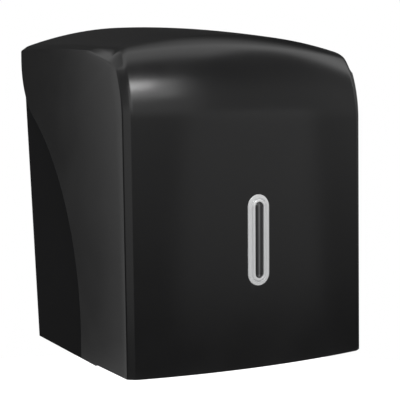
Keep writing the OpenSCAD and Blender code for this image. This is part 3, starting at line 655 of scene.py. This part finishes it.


# Painted highlights: a pale streak down the lens and a pale spot near its lower end, both mixed into the
# base colour.
streak_off, streak_core, streak_half = 0.4 * MM, 0.2 * MM, 1.0 * MM
glint_up, glint_core, glint_half = 2.6 * MM, 0.7 * MM, 1.5 * MM
smoked, tree, shader, place = start_material("smoked_polycarbonate")
haze = grained(tree, place, grain_mm=1 / 0.9)
patchy_gloss(tree, shader, haze, roughness=(0.1, 0.16))
across = add(tree, "ShaderNodeSeparateXYZ", {"Vector": place}).outputs["X"]
off_streak = calc(tree, "ABSOLUTE", calc(tree, "ADD", across, streak_off))
painted_streak = fade(tree, off_streak, streak_half, streak_core)
glint_place = at_window @ Vector((-streak_off, glint_up - lens_h / 2, bezel_proud))
off_glint = add(tree, "ShaderNodeVectorMath", {0: place, 1: glint_place}, operation="DISTANCE")
painted_glint = fade(tree, off_glint.outputs["Value"], glint_half, glint_core)
painted_highlight = calc(tree, "MULTIPLY", calc(tree, "ADD", painted_streak, painted_glint), haze.outputs["Patch"])
# The base colour goes from the dark tint, which also stands for the shade behind the lens, to a pale grey
# where the highlights are painted.
mix_colour(tree, shader, painted_highlight, (0.022, 0.022, 0.023), (0.21, 0.21, 0.215))
shader.inputs["Coat Weight"].default_value = 0.4
shader.inputs["Coat Roughness"].default_value = 0.06

# Its dome is a quarter of an ellipse carried round the stadium, over a rim that the bezel's lip holds.
DOME_STEPS = 13
lens_dome, lens_set = 1.3 * MM, 0.9 * MM
dome_foot = ring_top - lens_set - lens_dome / 2
lens_edge = lens_w / 2 - fit_gap
lens_out = lens_rim - 2 * fit_gap
dome_t = np.linspace(0, 1, DOME_STEPS, endpoint=False)
dome = np.column_stack([lens_edge * (1 - dome_t), dome_foot + lens_dome * np.sqrt(1 - dome_t ** 2)])
lens_body = [
    (0.0, dome_foot), (0.0, -lens_lip - fit_gap), (-lens_out, -lens_lip - fit_gap),
    (-lens_out, -tube_len), (lens_edge, -tube_len)]
lens_points, lens_faces = stadium_sweep(
    lens_w - 2 * fit_gap, lens_h - 2 * fit_gap, np.concatenate([dome, lens_body]))
lens = new_piece("lens_dome", moved(lens_points, at_window), lens_faces, smoked)
weld = lens.modifiers.new("weld", "WELD")
weld.merge_threshold = 0.01 * MM
apply_modifiers(lens)
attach(lens, "cover")
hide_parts("window_lens")

# Lock: a nickel-plated cam lock let into the top, held by a washer and nut under the cover.
# Its plug turns with a key and swings the steel cam behind the catch.
nickel_plate = metal(
    "nickel_plate", colour=(0.64, 0.63, 0.61), roughness=(0.16, 0.26), grain_mm=0.2, relief=0.15)
for piece in ("lock_barrel", "lock_washer", "lock_nut", "lock_plug"):
    dress(piece, nickel_plate)
dress("lock_cam", zinc_plate)

# Studio floor: a pale round sheet, three quarters of a metre below the middle of the wall screws.
# It whitens outwards for the camera alone, and from below it isn't there.
FLOOR_STEPS = 96
floor_drop, floor_r = 0.75, 2.4
white_from, white_to, least_white = 0.9, 1.7, 0.45
turn = np.linspace(0, 2 * np.pi, FLOOR_STEPS, endpoint=False)
floor_points = np.stack([floor_r * np.cos(turn), floor_r * np.sin(turn), 0 * turn - floor_drop], axis=-1)
floor_white, tree, shader, place = start_material("floor_white")
shader.inputs["Base Color"].default_value = (0.82, 0.82, 0.82, 1)
shader.inputs["Roughness"].default_value = 0.9
shader.inputs["Emission Color"].default_value = (1, 1, 1, 1)
from_middle = add(tree, "ShaderNodeVectorMath", {0: place}, operation="LENGTH").outputs["Value"]
pale = ranged(tree, from_middle, white_from, white_to, least_white)
seen = add(tree, "ShaderNodeLightPath").outputs["Is Camera Ray"]
tree.links.new(calc(tree, "MULTIPLY", pale, seen), shader.inputs["Emission Strength"])
underside = add(tree, "ShaderNodeNewGeometry").outputs["Backfacing"]
nothing = add(tree, "ShaderNodeBsdfTransparent").outputs[0]
one_sided = add(tree, "ShaderNodeMixShader", {0: underside, 1: shader.outputs[0], 2: nothing})
tree.links.new(one_sided.outputs[0], tree.nodes["Material Output"].inputs["Surface"])
floor = new_piece("floor", floor_points, [list(range(FLOOR_STEPS))], floor_white)

# Studio room: white to the camera, and an even dim light for the matt surfaces.
# Reflections see dim walls ahead, a band of ceiling that fades towards the back, and the rear left corner.
# The fades go by the parts of a unit direction: to the right, to the back and up.
world = bpy.data.worlds.new("studio")
bpy.context.scene.world = world
world.use_nodes = True
sky = world.node_tree
background = sky.nodes["Background"]
background.inputs["Color"].default_value = (1, 1, 1, 1)
direction = add(sky, "ShaderNodeTexCoord").outputs["Generated"]
right, back, up = add(sky, "ShaderNodeSeparateXYZ", {"Vector": direction}).outputs

wall_level, wall_top_level, right_share = 0.45, 0.25, 0.5
ahead = calc(sky, "MAXIMUM", fade(sky, back, 0.1, -0.5), fade(sky, right, 0.5, 0.9, 0.0, right_share))
walls = calc(sky, "MULTIPLY", ahead, fade(sky, up, -0.28, 0.12))
walls = calc(sky, "MULTIPLY", walls, fade(sky, up, 0.3, 0.65, wall_level, wall_top_level))

# The ceiling's level by degrees from straight ahead over the top; to the right the band narrows to half.
HALF_TURN = 180
ceiling_levels = [
    (50, 0.0), (60, 1.0), (76, 1.0), (92, 0.6), (106, 0.36), (124, 0.13), (142, 0.05), (168, 0.023)]
ceiling_end = 0.02
ceiling_gain, ceiling_left_gain = 1.7, 0.65
arch_middle = 80 / HALF_TURN
arch = calc(sky, "ARCTAN2", up, calc(sky, "MULTIPLY", back, -1.0))
off_middle = calc(sky, "SUBTRACT", calc(sky, "DIVIDE", arch, np.pi), arch_middle)
narrowed = calc(sky, "MULTIPLY", off_middle, fade(sky, right, 0.3, 0.75, 1.0, 2.0))
ceiling = add(sky, "ShaderNodeValToRGB", {"Fac": calc(sky, "ADD", narrowed, arch_middle)})
ceiling.color_ramp.interpolation = "EASE"
for degrees, share in ceiling_levels:
    stop = ceiling.color_ramp.elements.new(degrees / HALF_TURN)
    stop.color = (share, share, share, 1)
ceiling.color_ramp.elements[0].color = (0, 0, 0, 1)
ceiling.color_ramp.elements[-1].color = (ceiling_end, ceiling_end, ceiling_end, 1)
left_dim = fade(sky, right, -0.55, -0.72, ceiling_gain, ceiling_left_gain)
above = calc(sky, "MULTIPLY", ceiling.outputs["Color"], left_dim)

behind_level, corner_level, matt_level = 0.09, 0.8, 0.3
behind = calc(sky, "MULTIPLY", fade(sky, right, -0.3, -0.45, 0.0, behind_level), fade(sky, back, 0.3, 0.6))
corner = calc(sky, "MULTIPLY", fade(sky, right, -0.18, -0.38), fade(sky, back, -0.24, -0.04))
corner = calc(sky, "MULTIPLY", corner, fade(sky, up, 0.3, 0.45, 0.0, corner_level))
room = calc(sky, "MAXIMUM", calc(sky, "MAXIMUM", walls, above), calc(sky, "MAXIMUM", behind, corner))
rays = add(sky, "ShaderNodeLightPath").outputs
mirrored = calc(sky, "MULTIPLY", room, rays["Is Glossy Ray"])
seen = calc(sky, "ADD", rays["Is Camera Ray"], rays["Is Transmission Ray"])
ambient = calc(sky, "MULTIPLY", rays["Is Diffuse Ray"], matt_level)
level = calc(sky, "ADD", calc(sky, "ADD", mirrored, seen), ambient)
sky.links.new(level, background.inputs["Strength"])

# Studio lamps: soft boxes in front for the highlight under the brow, one overhead that isn't mirrored,
# a panel and a rim light behind on the left for the side, and two dim walls for the front's corners.


def softbox(name, place, aim, size, watts, roll=0.0):
    """A rectangular area lamp at a place, turned to an aim and rolled by that many degrees."""
    lamp = bpy.data.lights.new(name, "AREA")
    lamp.shape = "RECTANGLE"
    lamp.size, lamp.size_y = size
    lamp.energy = watts
    holder = bpy.data.objects.new(name, lamp)
    holder.location = place
    turn = (Vector(aim) - Vector(place)).to_track_quat("-Z", "Y").to_matrix()
    holder.rotation_euler = (turn @ Matrix.Rotation(np.radians(roll), 3, "Z")).to_euler()
    bpy.context.scene.collection.objects.link(holder)
    return holder


upper_front = (-0.07, -0.215, 0.1)
softbox("key_core", (-0.28, -1.88, 1.17), upper_front, (0.60, 0.25), 5.6)
softbox("key_glow", (-0.161, -1.965, 1.05), upper_front, (0.92, 0.56), 3.3)
softbox("key_spread", (-0.135, -2.075, 0.83), upper_front, (1.3, 1.1), 1.6)
softbox("key_left", (-0.98, -1.86, 0.784), upper_front, (1.15, 0.7), 2.8)
overhead = softbox("overhead", (0.3, -0.46, 1.25), (0.3, -0.30, 0.0), (2.2, 0.8), 8.0)
overhead.visible_glossy = False
softbox("side_panel", (-1.06, 0.62, -0.03), (-0.115, -0.2, -0.02), (0.94, 1.2), 2.2, roll=8)
softbox("rear_rim", (-0.434, 0.764, 0.9), (-0.12, -0.1, 0.13), (0.42, 0.65), 0.15)
softbox("right_wall", (1.05, -2.05, -0.05), (0, -0.2, 0), (1.5, 0.75), 0.9)
softbox("left_wall", (-1.5, -1.5, 0.0), (-0.11, -0.2, 0), (0.7, 0.9), 0.85)

# Camera: a short telephoto at the left front, a little above the dispenser's middle.
# Its place, aim and lens come from fitting the dispenser's outline.
camera_place = Vector((-469.48, -993.30, 70.70)) * MM
yaw, pitch = np.radians(28.567), np.radians(-5.119)
looking = Vector((np.sin(yaw) * np.cos(pitch), np.cos(yaw) * np.cos(pitch), np.sin(pitch)))
camera_data = bpy.data.cameras.new("camera")
camera_data.sensor_width = 36.0
camera_data.lens = 97.4
camera = bpy.data.objects.new("camera", camera_data)
camera.location = camera_place
camera.rotation_euler = looking.to_track_quat("-Z", "Y").to_euler()
bpy.context.scene.collection.objects.link(camera)
bpy.context.scene.camera = camera
bpy.context.scene.view_settings.view_transform = "Standard"
